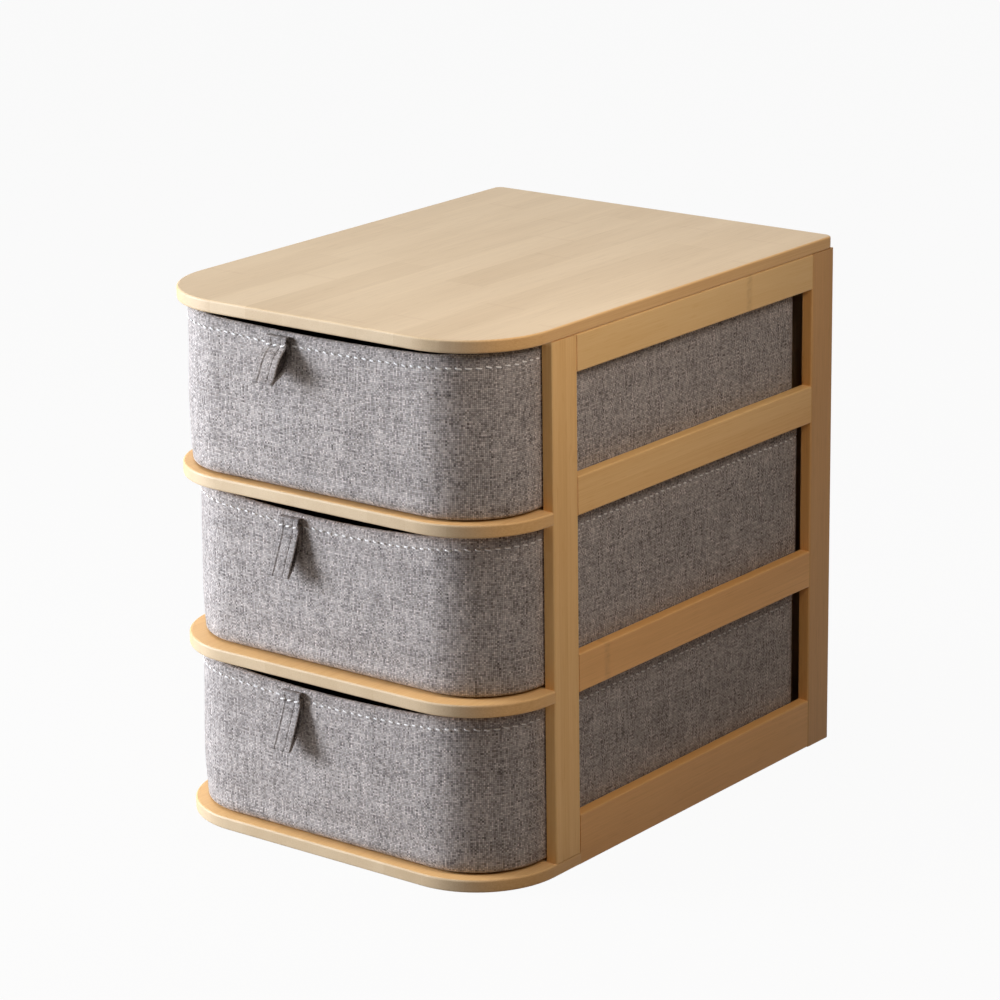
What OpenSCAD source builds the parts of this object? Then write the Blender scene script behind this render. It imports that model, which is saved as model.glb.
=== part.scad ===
// Desktop mini drawers: a bamboo carcass of four boards between open post-and-rail
// sides, holding three fabric-covered drawers that pull out by folded strap loops.
// Millimetres, +Z up, front towards -Y. The origin is on the standing surface, midway
// between the two sides and midway between the boards' front and back edges.

/* [Carcass] */
// Overall width, outside of one side frame to outside of the other
carcass_w = 200; // [170:1:260]
// Overall depth of the boards, front edge to back edge
carcass_d = 266; // [230:1:340]
// Clear height of each drawer bay
bay_h = 76; // [62:1:110]
// Thickness of the four boards
board_t = 6; // [5:0.5:9]
// Radius of the boards' two front corners
front_corner_r = 42; // [24:1:60]
// Radius of the top board's two back corners
back_corner_r = 4; // [2.5:0.5:12]
// Round on the edges of the boards
board_edge_r = 1; // [0.5:0.25:1.5]

/* [Side frames] */
// Thickness of the posts and rails, across the carcass
frame_t = 6; // [5:0.5:10]
// How far the boards reach out in front of the front posts
front_overhang = 44; // [30:1:62]
// Width of each post, front to back
post_w = 18; // [14:1:28]
// Height of the rails under the top board
top_rail_h = 17; // [12:1:24]
// Height of the rails beside the two shelves
shelf_rail_h = 18; // [12:1:26]
// Height of the rails at the bottom
bottom_rail_h = 24; // [14:1:30]
// Round on the long edges of the posts and rails
frame_edge_r = 0.8; // [0.4:0.1:1.5]

/* [Back panel] */
// Thickness of the panel that closes the back
panel_t = 3; // [2:0.5:5]
// How far the panel lies in from the back of the posts
panel_inset = 1; // [0.5:0.5:4]

/* [Dowels] */
// Diameter of the glued dowels
dowel_d = 3; // [2:0.5:4]
// Depth of a dowel in the face of a board, a rail or a post's side
dowel_face_depth = 4; // [3:0.5:4.5]
// Depth of a dowel in the end of a post or rail, or in a board's edge
dowel_end_depth = 9; // [6:0.5:12]

/* [Drawers] */
// Depth of each drawer, front to back
drawer_d = 246; // [180:1:250]
// Gap between a drawer and the side frame, each side
side_clearance = 0.5; // [0.3:0.1:1.5]
// Gap between a drawer and the board that it slides on
slide_clearance = 0.3; // [0.2:0.1:0.6]
// Gap between a drawer's rim and the board above it
rim_clearance = 1.7; // [1:0.1:5]
// Radius of a drawer's two back corners
drawer_back_r = 13; // [8:1:30]
// Thickness of the outer fabric
cover_t = 0.8; // [0.5:0.1:1.2]
// Thickness of the stiff boards inside the fabric
stiffener_t = 2; // [1.5:0.5:3]
// How far a drawer's front board runs back along its sides, from the front
front_board_reach = 60; // [44:1:100]
// Thickness of the lining fabric
lining_t = 0.6; // [0.4:0.1:1]
// Height of the hem that the outer fabric folds down inside the rim
hem_h = 14; // [10:1:20]
// How far the top drawer's front stands behind the boards' front edge
top_setback = 4; // [2:0.5:10]
// How far the middle drawer's front stands behind the boards' front edge
middle_setback = 8.5; // [2:0.5:10]
// How far the bottom drawer's front stands behind the boards' front edge
bottom_setback = 6; // [2:0.5:10]
// Half the width over which a drawer's front rim sags
sag_half_w = 75; // [50:1:80]
// Sag of the top drawer's front rim, at its middle
top_sag = 2.2; // [0.5:0.1:8]
// Sag of the middle drawer's front rim, at its middle
middle_sag = 4.6; // [0.5:0.1:8]
// Sag of the bottom drawer's front rim, at its middle
bottom_sag = 4.2; // [0.5:0.1:8]

/* [Pull tabs] */
// Width of the strap that each tab is folded from
strap_w = 12; // [8:1:24]
// Thickness of the strap
strap_t = 1; // [0.6:0.1:1.4]
// Place of the tabs across the drawers, from the middle
tab_x = -19.2; // [-40:0.2:40]
// Depth of the tab's sewn roll below the rim
tab_drop = 3.2; // [2.6:0.1:8]
// Radius of the sewn roll at the root of the tab
roll_r = 1.5; // [1.4:0.1:2]
// Gap between the roll and the drawer's front
roll_clearance = 0.3; // [0.2:0.1:0.5]
// Reach of the top drawer's tab in front of its root
top_tab_reach = 10.8; // [9:0.2:14]
// Fall of the top drawer's tab below its root
top_tab_fall = 17; // [14:0.5:22]
// Half the gap between the two layers of the top drawer's tab
top_tab_open = 2.7; // [2.4:0.1:3.2]
// Reach of the other two tabs in front of their roots
low_tab_reach = 8.2; // [7:0.2:12]
// Fall of the other two tabs below their roots
low_tab_fall = 23.5; // [18:0.5:30]
// Half the gap between the two layers of the other two tabs
low_tab_open = 0.8; // [0.4:0.1:1.4]

/* [Hidden] */
DRAWERS = ["top", "middle", "bottom"];

$fn = 96;
eps = 0.01;      // overshoot of a cut past the face that it opens
edge_fn = 32;    // facets of a small edge round
dowel_fn = 48;   // facets of a dowel
sag_fn = 360;    // facets of the wide arc of a sagging rim
loop_steps = 16; // stretches along each layer of a pull tab
sewn_t = 0.12;   // share of a tab's length that is sewn together at its root
fold_t = 0.96;   // where the fold at its tip begins, as a share of its length
hang = [0, 0.38];      // a tab's first handle, as shares of its reach outwards and its fall downwards
bend = [0.42, 0.66];   // its second handle, likewise

// Carcass levels and planes
bays = len(DRAWERS);
pitch = board_t + bay_h;           // from one board to the next
lower_z = pitch;                   // underside of the lower shelf
upper_z = 2 * pitch;               // underside of the upper shelf
carcass_h = bays * pitch + board_t;
front_y = -carcass_d / 2;
back_y = carcass_d / 2;
outer_x = carcass_w / 2;
inner_x = outer_x - frame_t;       // inner face of the side frames
front_post_y = front_y + front_overhang;
rear_post_y = back_y - post_w;
rail_y = front_post_y + post_w;    // the rails run from here to the rear posts
rail_len = rear_post_y - rail_y;
frame_top = carcass_h - board_t;   // underside of the top board
panel_y = back_y - panel_inset - panel_t;
frame_mid_x = outer_x - frame_t / 2;
joint_y = rail_len / 4;            // dowels in a shelf's edge, from the rail's middle

// Levels of the rails: [underside, height]
top_rail = [frame_top - top_rail_h, top_rail_h];
upper_rail = [upper_z, shelf_rail_h];
lower_rail = [lower_z, shelf_rail_h];
bottom_rail = [0, bottom_rail_h];
rails = [bottom_rail, lower_rail, upper_rail, top_rail];

// Drawers
drawer_w = 2 * (inner_x - side_clearance);
drawer_h = bay_h - slide_clearance - rim_clearance;
drawer_front_r = front_corner_r - (outer_x - drawer_w / 2);
floor_t = cover_t + stiffener_t;   // outer fabric and stiffener under the lining
setbacks = [top_setback, middle_setback, bottom_setback];
sags = [top_sag, middle_sag, bottom_sag];
tab_reaches = [top_tab_reach, low_tab_reach, low_tab_reach];
tab_falls = [top_tab_fall, low_tab_fall, low_tab_fall];
tab_opens = [top_tab_open, low_tab_open, low_tab_open];

function drawer_y(i) = front_y + setbacks[i];
function drawer_z(i) = (bays - 1 - i) * pitch + board_t + slide_clearance;

// Radius of the arc that dips by sag over the sagging part of the rim
function sag_r(sag) = (sag_half_w * sag_half_w + sag * sag) / (2 * sag);

// Height of the sagging rim at the tab, over the drawer's underside
function rim_at_tab(i) = drawer_h - sags[i] + sag_r(sags[i])
    - sqrt(pow(sag_r(sags[i]), 2) - tab_x * tab_x);

bamboo = [0.84, 0.69, 0.49];
bamboo_light = [0.88, 0.76, 0.59];
dowel_wood = [0.78, 0.64, 0.46];
panel_wood = [0.45, 0.33, 0.22];
outer_fabric = [0.56, 0.54, 0.54];
lining_fabric = [0.42, 0.41, 0.41];
greyboard = [0.62, 0.58, 0.52];

// ---- Boards ----

// Section of a slab's edge: flat from the axis outwards, its two outer corners rounded
module edge_section(reach) {
    square([reach - board_edge_r, board_t]);
    translate([0, board_edge_r])
        square([reach, board_t - 2 * board_edge_r]);
    for (z = [board_edge_r, board_t - board_edge_r])
        translate([reach - board_edge_r, z]) circle(board_edge_r, $fn = edge_fn);
}

// Straight stretch of edge along +X, its rounded side towards -Y
module edge_strip(len, reach) {
    mirror([0, 1, 0]) rotate([90, 0, 90]) linear_extrude(len) edge_section(reach);
}

// A quarter turn of edge, swept from the direction of angle
module edge_corner(reach, angle) {
    rotate([0, 0, angle]) rotate_extrude(angle = 90) edge_section(reach);
}

// Slab of full carcass width from the front edge to back, with rounded corners
module eased_slab(back) {
    fr = front_corner_r;
    br = back_corner_r;
    side_len = back - br - front_y - fr;
    translate([-outer_x + fr, front_y + fr, 0]) {
        cube([carcass_w - 2 * fr, side_len, board_t]);
        edge_strip(carcass_w - 2 * fr, fr);
        edge_corner(fr, 180);
        translate([0, side_len, 0]) rotate([0, 0, -90]) edge_strip(side_len, fr);
    }
    translate([outer_x - fr, front_y + fr, 0]) {
        edge_corner(fr, 270);
        rotate([0, 0, 90]) edge_strip(side_len, fr);
    }
    translate([outer_x - br, back - br, 0]) {
        edge_corner(br, 0);
        rotate([0, 0, 180]) edge_strip(carcass_w - 2 * br, br);
    }
    translate([-outer_x + br, back - br, 0]) edge_corner(br, 90);
}

// A slab whose sides are cut back to the inner faces of the side frames, behind from_y
module notched_slab(back, from_y) {
    difference() {
        eased_slab(back);
        for (side = [-1, 1])
            translate([side < 0 ? -outer_x - eps : inner_x, from_y, -eps])
                cube([frame_t + eps, back - from_y + eps, board_t + 2 * eps]);
    }
}

// ---- Dowels ----

// A dowel, or the bore for one, running in +Z from its deeper end
module dowel_up(len) {
    cylinder(d = dowel_d, h = len, $fn = dowel_fn);
}

// Dowels between the posts and the boards above and below them
module post_dowel_set() {
    for (side = [-1, 1]) {
        for (y = [front_post_y, rear_post_y])
            translate([side * frame_mid_x, y + post_w / 2, frame_top - dowel_end_depth])
                dowel_up(dowel_end_depth + dowel_face_depth);
        translate([side * frame_mid_x, front_post_y + post_w / 2, board_t - dowel_face_depth])
            dowel_up(dowel_face_depth + dowel_end_depth);
    }
}

// Dowels from the rails' ends into the sides of the posts
module rail_dowel_set() {
    for (side = [-1, 1], rail = rails, y = [rail_y - dowel_face_depth, rear_post_y - dowel_end_depth])
        translate([side * frame_mid_x, y, rail[0] + rail[1] / 2])
            rotate([-90, 0, 0]) dowel_up(dowel_face_depth + dowel_end_depth);
}

// Dowels from the rails' inner faces into the edges of the shelves and the bottom board
module shelf_dowel_set() {
    for (side = [-1, 1], z = [0, lower_z, upper_z], y = [-joint_y, joint_y])
        translate([side * (inner_x - dowel_end_depth), rail_y + rail_len / 2 + y, z + board_t / 2])
            rotate([0, side * 90, 0]) dowel_up(dowel_end_depth + dowel_face_depth);
}

// ---- Side frames ----

// Bar along +Z with its four long edges rounded
module eased_bar(w, d, len) {
    r = frame_edge_r;
    linear_extrude(len) {
        translate([r, 0]) square([w - 2 * r, d]);
        translate([0, r]) square([w, d - 2 * r]);
        for (x = [r, w - r], y = [r, d - r])
            translate([x, y]) circle(r, $fn = edge_fn);
    }
}

// Left edge of a side frame's bars, in X: side is -1 for left and 1 for right
function bar_x(side) = side < 0 ? -outer_x : inner_x;

module post(side, y, foot_z) {
    color(bamboo) difference() {
        translate([bar_x(side), y, foot_z]) eased_bar(frame_t, post_w, frame_top - foot_z);
        post_dowel_set();
        rail_dowel_set();
    }
}

module rail(side, level) {
    color(bamboo) difference() {
        translate([bar_x(side), rail_y + rail_len, level[0]])
            rotate([90, 0, 0]) eased_bar(frame_t, level[1], rail_len);
        rail_dowel_set();
        shelf_dowel_set();
    }
}

// ---- Carcass parts ----

module top_board() {
    color(bamboo_light) difference() {
        translate([0, 0, frame_top]) eased_slab(back_y);
        post_dowel_set();
    }
}

module shelf(z) {
    color(bamboo) difference() {
        translate([0, 0, z]) notched_slab(panel_y, front_post_y);
        shelf_dowel_set();
    }
}

module bottom_board() {
    color(bamboo) difference() {
        notched_slab(back_y, rail_y);
        post_dowel_set();
        shelf_dowel_set();
    }
}

module back_panel() {
    color(panel_wood)
        translate([-inner_x, panel_y, board_t])
            cube([2 * inner_x, panel_t, frame_top - board_t]);
}

module post_dowels() { color(dowel_wood) post_dowel_set(); }
module rail_dowels() { color(dowel_wood) rail_dowel_set(); }
module shelf_dowels() { color(dowel_wood) shelf_dowel_set(); }

// ---- Drawers ----

// Outline of a drawer seen from above, drawn in by inset, its front at y = 0
module drawer_outline(inset) {
    w = drawer_w - 2 * inset;
    d = drawer_d - 2 * inset;
    fr = drawer_front_r - inset;
    br = drawer_back_r - inset;
    translate([-w / 2, inset]) {
        translate([fr, 0]) square([w - 2 * fr, d - br]);
        translate([0, fr]) square([w, d - fr - br]);
        translate([br, d - br]) square([w - 2 * br, br]);
        for (x = [fr, w - fr]) translate([x, fr]) circle(fr);
        for (x = [br, w - br]) translate([x, d - br]) circle(br);
    }
}

// Block of a drawer's outline from z up to a level that lies drop below the rim all
// along, the sag of the front rim included. The sag is an arc that looks upwards
module drawer_block(i, inset, z, drop) {
    difference() {
        translate([0, 0, z]) linear_extrude(drawer_h - drop - z) drawer_outline(inset);
        translate([0, -eps, drawer_h - sags[i] + sag_r(sags[i])])
            rotate([-90, 0, 0]) cylinder(r = sag_r(sags[i]) + drop, h = drawer_front_r, $fn = sag_fn);
    }
}

// Block that runs up past the rim, to open a drawer upwards
module drawer_cut(inset, z) {
    translate([0, 0, z]) linear_extrude(drawer_h - z + eps) drawer_outline(inset);
}

module place_drawer(i) {
    translate([0, drawer_y(i), drawer_z(i)]) children();
}

// Outer fabric: round the walls and under the base, over the rim and down the hem inside
module drawer_cover(i) {
    color(outer_fabric) place_drawer(i) difference() {
        drawer_block(i, 0, 0, 0);
        difference() {
            drawer_block(i, cover_t, cover_t, cover_t);
            drawer_cut(floor_t, drawer_h - hem_h);
        }
        drawer_cut(floor_t + lining_t, drawer_h - hem_h - eps);
    }
}

// Band of stiff board that stands in the walls
module wall_band(i) {
    difference() {
        drawer_block(i, cover_t, floor_t, cover_t);
        drawer_cut(floor_t, floor_t - eps);
    }
}

// Space that a drawer's front board takes up, from the front back to its butt joints
module front_space() {
    translate([-drawer_w / 2, 0, 0]) cube([drawer_w, front_board_reach, drawer_h]);
}

// The band's front stretch, bent round both front corners
module drawer_front_board(i) {
    color(greyboard) place_drawer(i) intersection() {
        wall_band(i);
        front_space();
    }
}

// The rest of the band, along the sides and round the back
module drawer_wall_board(i) {
    color(greyboard) place_drawer(i) difference() {
        wall_band(i);
        front_space();
    }
}

// Stiff board under the lining, on which the band stands
module drawer_base_board(i) {
    color(greyboard) place_drawer(i)
        translate([0, 0, cover_t]) linear_extrude(stiffener_t) drawer_outline(cover_t);
}

// Lining fabric: over the base and up the walls to the hem
module drawer_lining(i) {
    color(lining_fabric) place_drawer(i) difference() {
        translate([0, 0, floor_t])
            linear_extrude(drawer_h - hem_h - floor_t) drawer_outline(floor_t);
        drawer_cut(floor_t + lining_t, floor_t + lining_t);
    }
}

// ---- Pull tabs ----
// Each tab is a strap folded double. Its middle line is a cubic curve from the sewn
// roll straight down and then out to the tip, in the plane of depth and height.

function tab_handles(i) = [
    [0, 0],
    [-hang[0] * tab_reaches[i], -hang[1] * tab_falls[i]],
    [-bend[0] * tab_reaches[i], -bend[1] * tab_falls[i]],
    [-tab_reaches[i], -tab_falls[i]]
];
function bezier(p, t) = pow(1 - t, 3) * p[0] + 3 * pow(1 - t, 2) * t * p[1]
    + 3 * (1 - t) * t * t * p[2] + pow(t, 3) * p[3];
function bezier_dir(p, t) = pow(1 - t, 2) * (p[1] - p[0])
    + 2 * (1 - t) * t * (p[2] - p[1]) + t * t * (p[3] - p[2]);
function across(v) = [-v[1], v[0]] / norm(v);

// Half the gap between the layers at t along the middle line. It is nothing where they
// are sewn together at the root and where the strap is folded at the tip
function half_gap(i, t) = t <= sewn_t || t >= fold_t ? 0
    : tab_opens[i] * sin(180 * (t - sewn_t) / (fold_t - sewn_t));

// Points along one layer from t0 to t1, off the middle line by the half gap and extra
function layer(i, side, extra, t0, t1) = [
    for (k = [0:loop_steps])
        let (t = t0 + (t1 - t0) * k / loop_steps, p = tab_handles(i))
            bezier(p, t) + side * across(bezier_dir(p, t)) * (half_gap(i, t) + extra)
];
function loop_points(i, extra, t0, t1) =
    concat(layer(i, 1, extra, t0, t1), reversed(layer(i, -1, extra, t0, t1)));
function reversed(list) = [for (k = [len(list) - 1:-1:0]) list[k]];

// The folded strap lying on its side: roll, two layers and folded tip, less the loop's gap
module folded_strap(i) {
    difference() {
        union() {
            linear_extrude(strap_w) polygon(loop_points(i, strap_t, 0, 1));
            cylinder(r = roll_r, h = strap_w, $fn = edge_fn);
            translate(tab_handles(i)[3]) cylinder(r = strap_t, h = strap_w, $fn = edge_fn);
        }
        translate([0, 0, -eps])
            linear_extrude(strap_w + 2 * eps) polygon(loop_points(i, 0, sewn_t, fold_t));
    }
}

module drawer_pull_tab(i) {
    color(outer_fabric) place_drawer(i)
        translate([tab_x - strap_w / 2, -roll_clearance - roll_r, rim_at_tab(i) - tab_drop])
            rotate([90, 0, 90]) folded_strap(i);
}

// ---- Assembly ----

top_board();
shelf(upper_z);  // upper_shelf
shelf(lower_z);  // lower_shelf
bottom_board();
back_panel();
post(-1, front_post_y, board_t);  // left_front_post
post(1, front_post_y, board_t);  // right_front_post
post(-1, rear_post_y, 0);  // left_rear_post
post(1, rear_post_y, 0);  // right_rear_post
rail(-1, top_rail);  // left_top_rail
rail(1, top_rail);  // right_top_rail
rail(-1, upper_rail);  // left_upper_rail
rail(1, upper_rail);  // right_upper_rail
rail(-1, lower_rail);  // left_lower_rail
rail(1, lower_rail);  // right_lower_rail
rail(-1, bottom_rail);  // left_bottom_rail
rail(1, bottom_rail);  // right_bottom_rail
post_dowels();
rail_dowels();
shelf_dowels();
for (i = [0:bays - 1]) {
    drawer_cover(i);
    drawer_front_board(i);
    drawer_wall_board(i);
    drawer_base_board(i);
    drawer_lining(i);
    drawer_pull_tab(i);
}
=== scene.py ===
from math import cos, pi, radians, sin

import bpy
import numpy as np
from mathutils import Matrix, Vector


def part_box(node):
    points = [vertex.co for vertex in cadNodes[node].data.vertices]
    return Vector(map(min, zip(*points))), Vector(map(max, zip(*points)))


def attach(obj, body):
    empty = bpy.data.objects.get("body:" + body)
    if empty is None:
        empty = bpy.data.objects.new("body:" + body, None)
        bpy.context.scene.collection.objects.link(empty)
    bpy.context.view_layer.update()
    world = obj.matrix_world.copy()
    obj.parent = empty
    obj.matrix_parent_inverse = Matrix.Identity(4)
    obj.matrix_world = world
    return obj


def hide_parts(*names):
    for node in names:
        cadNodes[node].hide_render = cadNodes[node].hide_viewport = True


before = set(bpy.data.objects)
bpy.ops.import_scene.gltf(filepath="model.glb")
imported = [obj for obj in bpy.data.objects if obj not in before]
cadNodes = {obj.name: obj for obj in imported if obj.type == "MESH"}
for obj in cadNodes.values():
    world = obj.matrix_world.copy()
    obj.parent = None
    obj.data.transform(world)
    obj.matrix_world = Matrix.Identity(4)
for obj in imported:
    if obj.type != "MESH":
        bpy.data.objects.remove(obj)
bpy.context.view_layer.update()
print("frame loaded:", len(cadNodes), "nodes")


# Camera, at the angle and distance of the photograph

cameraView = dict(
    azimuth=37.83,                  # degrees round from the front, towards the right side
    elevation=16.65,                # degrees above the horizon
    roll=-0.775,
    distance=1.7637,
    target=(0.0015, 0.0, 0.1370),
    lens=135.2,                     # on a 36 mm sensor
)


def direction(setup):                   # from the object towards a camera or light
    az, el = radians(setup["azimuth"]), radians(setup["elevation"])
    return Vector((sin(az) * cos(el), -cos(az) * cos(el), sin(el)))


def makeCamera(setup):
    az, roll = radians(setup["azimuth"]), radians(setup["roll"])
    back = direction(setup)
    right = Vector((cos(az), sin(az), 0))
    up = back.cross(right)
    rolledRight = cos(roll) * right + sin(roll) * up
    rolledUp = cos(roll) * up - sin(roll) * right
    data = bpy.data.cameras.new("camera")
    data.lens = setup["lens"]
    camera = bpy.data.objects.new("camera", data)
    camera.matrix_world = Matrix((rolledRight, rolledUp, back)).transposed().to_4x4()
    camera.location = Vector(setup["target"]) + back * setup["distance"]
    bpy.context.scene.collection.objects.link(camera)
    bpy.context.scene.camera = camera


makeCamera(cameraView)
print("camera placed")


# Shader helpers: a value is either a number or the output of another node

def feed(tree, socket, value):
    if isinstance(value, bpy.types.NodeSocket):
        tree.links.new(value, socket)
    else:
        socket.default_value = value


def place(tree, kind, inputs=None, **settings):
    node = tree.nodes.new(kind)
    for key, value in settings.items():
        setattr(node, key, value)
    for key, value in (inputs or {}).items():
        feed(tree, node.inputs[key], value)
    return node


def calc(tree, operation, *values):
    node = place(tree, "ShaderNodeMath", operation=operation)
    for socket, value in zip(node.inputs, values):
        feed(tree, socket, value)
    return node.outputs[0]


def vectorCalc(tree, operation, *vectors):
    node = place(tree, "ShaderNodeVectorMath", operation=operation)
    for socket, vector in zip(node.inputs, vectors):
        feed(tree, socket, vector)
    return node.outputs[0]


def objectPoint(tree):
    return tree.nodes.new("ShaderNodeTexCoord").outputs["Object"]


def split(tree, vector):
    return place(tree, "ShaderNodeSeparateXYZ", {"Vector": vector}).outputs


def join(tree, x=0.0, y=0.0, z=0.0):
    return place(tree, "ShaderNodeCombineXYZ", {"X": x, "Y": y, "Z": z}).outputs[0]


# A point for a texture. A term is a value as it is, or a value with its scale and, if it
# has one, its offset
def spot(tree, *terms):
    scaled = []
    for term in terms:
        if isinstance(term, tuple):
            term = calc(tree, "MULTIPLY_ADD" if len(term) == 3 else "MULTIPLY", *term)
        scaled.append(term)
    return join(tree, *scaled)


def noise(tree, vector, scale=1.0, detail=2.0, roughness=0.5):
    inputs = {"Vector": vector, "Scale": scale, "Detail": detail, "Roughness": roughness}
    return place(tree, "ShaderNodeTexNoise", inputs).outputs["Fac"]


def chance(tree, vector):               # one random number for each whole-numbered place
    return place(tree, "ShaderNodeTexWhiteNoise", {"Vector": vector}).outputs["Value"]


def ramp(tree, value, low, high):       # 0 at low, 1 at high, smooth between
    inputs = {"Value": value, "From Min": low, "From Max": high}
    return place(tree, "ShaderNodeMapRange", inputs, interpolation_type="SMOOTHSTEP").outputs[0]


def blendColor(tree, share, first, second, mode="MIX"):
    node = place(tree, "ShaderNodeMix", data_type="RGBA", blend_type=mode)
    for index, value in ((0, share), (6, first), (7, second)):
        feed(tree, node.inputs[index], value)
    return node.outputs[2]


def blendValue(tree, share, first, second):
    node = place(tree, "ShaderNodeMix", data_type="FLOAT")
    for index, value in ((0, share), (2, first), (3, second)):
        feed(tree, node.inputs[index], value)
    return node.outputs[0]


def newGroup(name, inputs, outputs):
    tree = bpy.data.node_groups.new(name, "ShaderNodeTree")
    kinds = {"v": "NodeSocketVector", "f": "NodeSocketFloat", "c": "NodeSocketColor"}
    for label, (kind, value) in inputs.items():
        socket = tree.interface.new_socket(label, in_out="INPUT", socket_type=kinds[kind])
        socket.default_value = value
    for label, kind in outputs.items():
        tree.interface.new_socket(label, in_out="OUTPUT", socket_type=kinds[kind])
    source = tree.nodes.new("NodeGroupInput").outputs
    target = tree.nodes.new("NodeGroupOutput").inputs
    return tree, source, target


def useGroup(tree, group, inputs):
    node = tree.nodes.new("ShaderNodeGroup")
    node.node_tree = group
    for key, value in inputs.items():
        feed(tree, node.inputs[key], value)
    return node.outputs


# Bamboo grain: strips laid side by side, each in lengths with a tone of its own, fine
# fibres along them, a faint node in each length and one plain node where asked

grainLook = dict(
    fibre=(1900, 22),           # waves in a metre, across and along the grain
    bundle=(900, 75),
    cloud=(55, 7),
    dash=(520, 260),
    wave=160,
    sway=0.0012,                # how far a node wanders along the grain
    nodeEdge=(0.0034, 0.0004),  # a node fades in between these distances from its line
    dashShare=0.45,             # of a node's colour, the part that comes in dashes
    faintEdge=0.0018,
    seamEdge=0.012,             # half a glue line, as a share of a strip's width
    toneShare=0.34, cloudShare=0.95, fibreShare=1.15, bundleShare=0.20, seamShare=0.16,
    nodeShare=0.24, faintShare=0.09,
    nodeColor=(0.34, 0.14, 0.04, 1),
)


def makeBambooGrain():
    look = grainLook
    tree, source, target = newGroup(
        "bambooGrain",
        {"Across": ("f", 0.0), "Along": ("f", 0.0), "Through": ("f", 0.0), "Seed": ("f", 0.0),
         "Strip Width": ("f", 0.02), "Strip Length": ("f", 0.2), "Node Place": ("f", 9.0),
         "Light": ("c", (1, 1, 1, 1)), "Dark": ("c", (0, 0, 0, 1))},
        {"Color": "c", "Height": "f", "Fibre": "f"})
    across, along, through, seed = (source[key] for key in ("Across", "Along", "Through", "Seed"))
    strip = calc(tree, "DIVIDE", across, source["Strip Width"])
    strip = calc(tree, "MULTIPLY_ADD", seed, 3.7, strip)
    stripNumber = calc(tree, "FLOOR", strip)
    shift = chance(tree, join(tree, stripNumber, seed, 1.0))
    length = calc(tree, "ADD", calc(tree, "DIVIDE", along, source["Strip Length"]), shift)
    lengthNumber = calc(tree, "FLOOR", length)
    tone = chance(tree, join(tree, stripNumber, lengthNumber, seed))

    # fibres: noise stretched along the grain, and short dark bundles among them
    def grainSpot(waves, offset):
        return spot(tree, (across, waves[0]), (along, waves[1]), (through, waves[0], offset))

    fibreAt = grainSpot(look["fibre"], calc(tree, "MULTIPLY", tone, 40))
    fibre = noise(tree, fibreAt, detail=3.0, roughness=0.65)
    bundle = ramp(tree, noise(tree, grainSpot(look["bundle"], 7.0), detail=1.0), 0.60, 0.72)
    cloud = noise(tree, grainSpot(look["cloud"], seed), detail=2.0)

    # nodes: a wavy line across the grain with a darker core of dashes
    waveAt = spot(tree, (across, look["wave"]), (through, look["wave"]), seed)
    wave = calc(tree, "MULTIPLY_ADD", noise(tree, waveAt, detail=1.0), look["sway"], -look["sway"] / 2)
    swayed = calc(tree, "ADD", along, wave)
    nodeGap = calc(tree, "ABSOLUTE", calc(tree, "SUBTRACT", swayed, source["Node Place"]))
    nodeBand = ramp(tree, nodeGap, *look["nodeEdge"])
    dashes = ramp(tree, noise(tree, grainSpot(look["dash"], 0.0), detail=1.0), 0.46, 0.62)
    nodeMark = calc(tree, "MULTIPLY", nodeBand,
                    calc(tree, "MULTIPLY_ADD", dashes, look["dashShare"], 1 - look["dashShare"]))
    faintAt = calc(tree, "SUBTRACT", calc(tree, "FRACT", length), calc(tree, "MULTIPLY_ADD", tone, 0.6, 0.2))
    faintGap = calc(tree, "MULTIPLY", calc(tree, "ABSOLUTE", faintAt), source["Strip Length"])
    faintBand = ramp(tree, calc(tree, "ADD", faintGap, wave), look["faintEdge"], 0.0)
    faintMark = calc(tree, "MULTIPLY", faintBand, look["faintShare"])

    # glue lines between the strips
    seamGap = calc(tree, "PINGPONG", strip, 0.5)
    seam = calc(tree, "MULTIPLY", ramp(tree, seamGap, look["seamEdge"], 0.0), look["seamShare"])

    # each part moves the lightness both ways from a little over the middle
    lightness = 0.52
    for part, share in ((tone, "toneShare"), (cloud, "cloudShare"), (fibre, "fibreShare")):
        lightness = calc(tree, "MULTIPLY_ADD", calc(tree, "SUBTRACT", part, 0.5), look[share], lightness)
    lightness = calc(tree, "MULTIPLY_ADD", bundle, -look["bundleShare"], lightness)
    lightness = calc(tree, "SUBTRACT", lightness, seam)
    base = blendColor(tree, lightness, source["Dark"], source["Light"])
    marks = calc(tree, "ADD", calc(tree, "MULTIPLY", nodeMark, look["nodeShare"]), faintMark)
    feed(tree, target["Color"], blendColor(tree, marks, base, look["nodeColor"]))
    height = calc(tree, "MULTIPLY_ADD", nodeMark, -0.5, fibre)
    feed(tree, target["Height"], calc(tree, "SUBTRACT", height, seam))
    feed(tree, target["Fibre"], fibre)
    return tree


# Edge wear: how near a point is to a long edge of its piece's box, from 0 to 1.
# The gaps to the nearest face of each of two axes are both small only along an edge

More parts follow.
